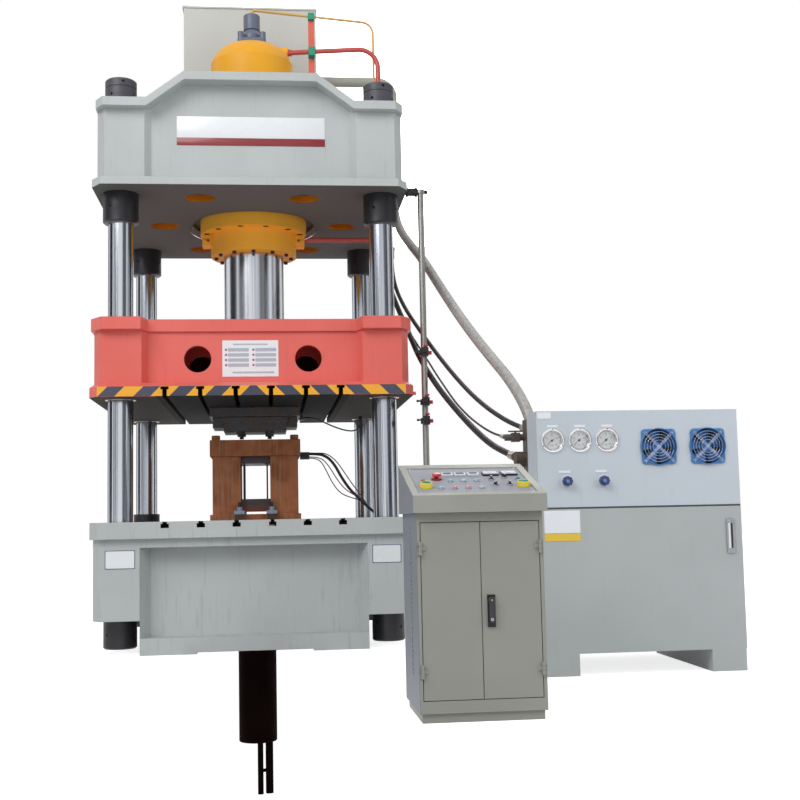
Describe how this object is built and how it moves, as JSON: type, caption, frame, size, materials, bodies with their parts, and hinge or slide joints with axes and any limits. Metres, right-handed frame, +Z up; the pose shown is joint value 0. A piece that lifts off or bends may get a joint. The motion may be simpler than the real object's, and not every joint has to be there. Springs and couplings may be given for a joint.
{
  "type": "hydraulic press",
  "caption": "Column-guided hydraulic press with a moving beam under a domed cylinder, a die set, a power unit joined by hoses and a sloping control console.",
  "frame": {"origin": "centre of the press on the floor, where its foundation bolts hold the bed", "axes": "+Z up along the ram, +Y towards the back, -Y towards the operator, +X to the operator's right"},
  "size_m": [3.838, 5.558, 6.376],
  "materials": {
    "frame_paint": "semi-gloss pale olive grey paint on castings",
    "beam_paint": "coral red paint",
    "cylinder_paint": "orange yellow paint",
    "valve_paint": "blue grey paint",
    "column_steel": "ground and polished bar",
    "ram_steel": "ground and polished ram",
    "black_nut": "black oxide",
    "bronze": "machined bronze",
    "screw_steel": "black oxide screws",
    "ejector_paint": "dark brown paint",
    "pipe_paint": "red paint",
    "post_paint": "salmon red paint",
    "die_steel": "rust brown tool steel",
    "die_black": "blackened tool steel",
    "clamp_steel": "bare steel",
    "switch_metal": "cast switch bodies",
    "panel_paint": "pale grey green sheet",
    "desk_paint": "pale grey sheet",
    "controls": "panel fittings",
    "green_cap": "green button cap",
    "blue_cap": "blue button cap",
    "red_cap": "red button cap",
    "handle_black": "black plastic",
    "gauge_chrome": "chrome gauge cases",
    "needle_black": "black needles",
    "fan_blue": "blue fan parts",
    "knob_blue": "blue hand knobs",
    "level_glass": "level gauge",
    "pump_paint": "grey paint",
    "block_steel": "grey brown valve block",
    "hose_rubber": "black rubber hose",
    "suction_rubber": "pale grey ribbed hose",
    "pilot_rubber": "ochre hose",
    "ferrule_steel": "crimped ferrules",
    "cable_rubber": "cable sheath"
  },
  "bodies": {
    "frame": {"columns": "column_steel", "bed_nuts": "black_nut", "column_collars": "black_nut", "crown_top_nuts": "black_nut", "bed": "frame_paint", "ejector_cylinder": "ejector_paint", "main_cylinder": "cylinder_paint", "gland_ring": "cylinder_paint", "ram_bush": "bronze", "cylinder_screws": "screw_steel", "filling_valve": "valve_paint", "crown": "frame_paint", "oil_box": "frame_paint", "suction_pipe": "frame_paint", "rigid_pipes": "pipe_paint", "pipe_post": "post_paint", "switch_pole": "column_steel", "limit_switches": "switch_metal", "lower_die": "die_steel", "die_inserts": "die_steel", "die_clamps": "clamp_steel", "die_cable": "cable_rubber", "cable_ends": "handle_black", "console_cabinet": "panel_paint", "console_desk": "desk_paint", "panel_controls": "controls", "oil_tank": "frame_paint", "tank_lid": "frame_paint", "instrument_panel": "panel_paint", "gauge_cases": "gauge_chrome", "valve_block": "block_steel", "fan_housings": "fan_blue", "level_gauge": "level_glass", "pump_set": "pump_paint", "suction_hose": "suction_rubber", "pressure_hose": "hose_rubber", "pilot_hose": "pilot_rubber", "return_hose": "hose_rubber", "hose_ferrules": "ferrule_steel"},
    "beam": {"moving_beam": "beam_paint", "guide_bushes": "bronze", "ram": "ram_steel", "ram_clamp_ring": "black_nut", "upper_bolster": "die_steel", "upper_die": "die_black", "upper_cable": "cable_rubber"},
    "ejector": {"ejector_rod": "ram_steel"},
    "left_door": {"door_left": "panel_paint"},
    "right_door": {"door_right": "panel_paint"},
    "handle": {"door_handle": "handle_black"},
    "left_palm_button": {"palm_button_left": "green_cap"},
    "right_palm_button": {"palm_button_right": "blue_cap"},
    "stop_button": {"emergency_stop": "red_cap"},
    "needle_1": {"gauge_needle_1": "needle_black"},
    "needle_2": {"gauge_needle_2": "needle_black"},
    "needle_3": {"gauge_needle_3": "needle_black"},
    "left_knob": {"valve_knob_left": "knob_blue"},
    "right_knob": {"valve_knob_right": "knob_blue"},
    "left_rotor": {"fan_rotor_left": "fan_blue"},
    "right_rotor": {"fan_rotor_right": "fan_blue"}
  },
  "joints": [
    {"name": "beam_slide", "type": "slide", "parent": "frame", "child": "beam", "axis": [0, 0, 1], "range_m": [-0.03, 0.58]},
    {"name": "ejector_slide", "type": "slide", "parent": "frame", "child": "ejector", "axis": [0, 0, 1], "range_m": [0, 0.12]},
    {"name": "left_door_hinge", "type": "hinge", "parent": "frame", "child": "left_door", "pos_m": [0.7435, -4.328, 0.48], "axis": [0, 0, 1], "range_deg": [-110, 0]},
    {"name": "right_door_hinge", "type": "hinge", "parent": "frame", "child": "right_door", "pos_m": [1.2685, -4.328, 0.48], "axis": [0, 0, 1], "range_deg": [0, 110]},
    {"name": "handle_turn", "type": "hinge", "parent": "right_door", "child": "handle", "pos_m": [1.047, -4.336, 0.515], "axis": [0, 1, 0], "range_deg": [-90, 0]},
    {"name": "left_palm_press", "type": "slide", "parent": "frame", "child": "left_palm_button", "axis": [0, 0.2654, -0.9641], "range_m": [0, 0.006], "stiffness_N_per_m": 400, "springref_m": -0.003},
    {"name": "right_palm_press", "type": "slide", "parent": "frame", "child": "right_palm_button", "axis": [0, 0.2654, -0.9641], "range_m": [0, 0.006], "stiffness_N_per_m": 400, "springref_m": -0.003},
    {"name": "stop_press", "type": "slide", "parent": "frame", "child": "stop_button", "axis": [0, 0.2654, -0.9641], "range_m": [0, 0.006], "stiffness_N_per_m": 400, "springref_m": -0.003},
    {"name": "needle_1_turn", "type": "hinge", "parent": "frame", "child": "needle_1", "pos_m": [1.663, -2.944, 1.288], "axis": [0, 1, 0], "range_deg": [0, 270], "stiffness_Nm_per_rad": 0.0005},
    {"name": "needle_2_turn", "type": "hinge", "parent": "frame", "child": "needle_2", "pos_m": [1.817, -2.944, 1.288], "axis": [0, 1, 0], "range_deg": [0, 270], "stiffness_Nm_per_rad": 0.0005},
    {"name": "needle_3_turn", "type": "hinge", "parent": "frame", "child": "needle_3", "pos_m": [1.971, -2.944, 1.288], "axis": [0, 1, 0], "range_deg": [0, 270], "stiffness_Nm_per_rad": 0.0005},
    {"name": "left_knob_turn", "type": "hinge", "parent": "frame", "child": "left_knob", "pos_m": [1.735, -2.97, 1.06], "axis": [0, 1, 0], "range_deg": [-360, 360]},
    {"name": "right_knob_turn", "type": "hinge", "parent": "frame", "child": "right_knob", "pos_m": [1.943, -2.97, 1.06], "axis": [0, 1, 0], "range_deg": [-360, 360]},
    {"name": "left_rotor_spin", "type": "hinge", "parent": "frame", "child": "left_rotor", "pos_m": [2.265, -2.921, 1.245], "axis": [0, 1, 0], "continuous": true},
    {"name": "right_rotor_spin", "type": "hinge", "parent": "frame", "child": "right_rotor", "pos_m": [2.547, -2.921, 1.245], "axis": [0, 1, 0], "continuous": true}
  ]
}
